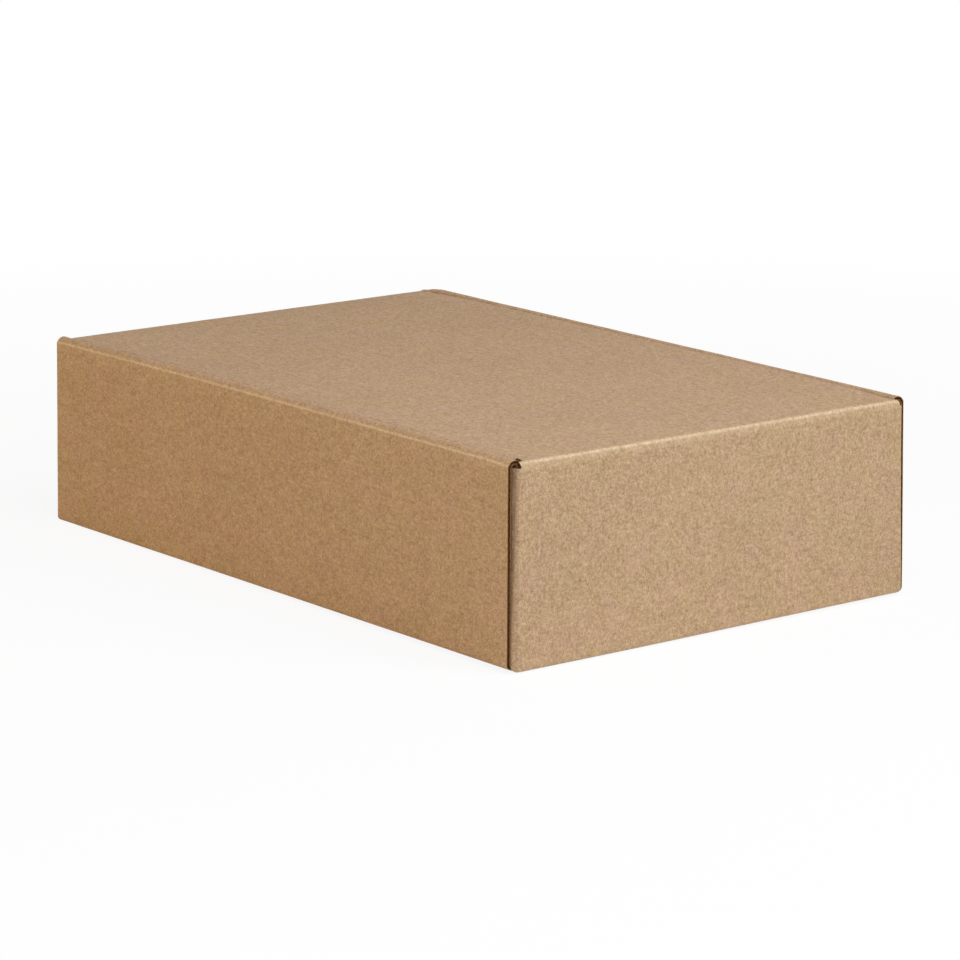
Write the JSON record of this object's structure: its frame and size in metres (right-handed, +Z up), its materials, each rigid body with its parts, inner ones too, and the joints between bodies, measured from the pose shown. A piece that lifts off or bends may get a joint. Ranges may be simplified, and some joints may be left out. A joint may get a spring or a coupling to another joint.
{
  "type": "cardboard mailing box",
  "caption": "Closed rectangular mailing box folded from corrugated board, with rolled-over long walls, tucked corner flaps and a hinged lid.",
  "frame": {"origin": "middle of the underside", "axes": "+X out of the short wall that carries the lid's hinge, +Y along that wall, +Z up"},
  "size_m": [0.314, 0.198, 0.08],
  "materials": {
    "board": "uncoated recycled kraft liner, matt"
  },
  "bodies": {
    "tray": {"tray": "board"},
    "lid": {"lid": "board"}
  },
  "joints": [
    {"name": "lid_hinge", "type": "hinge", "parent": "tray", "child": "lid", "pos_m": [0.15658, 0, 0.07858], "axis": [0, 1, 0], "range_deg": [0, 180]}
  ]
}
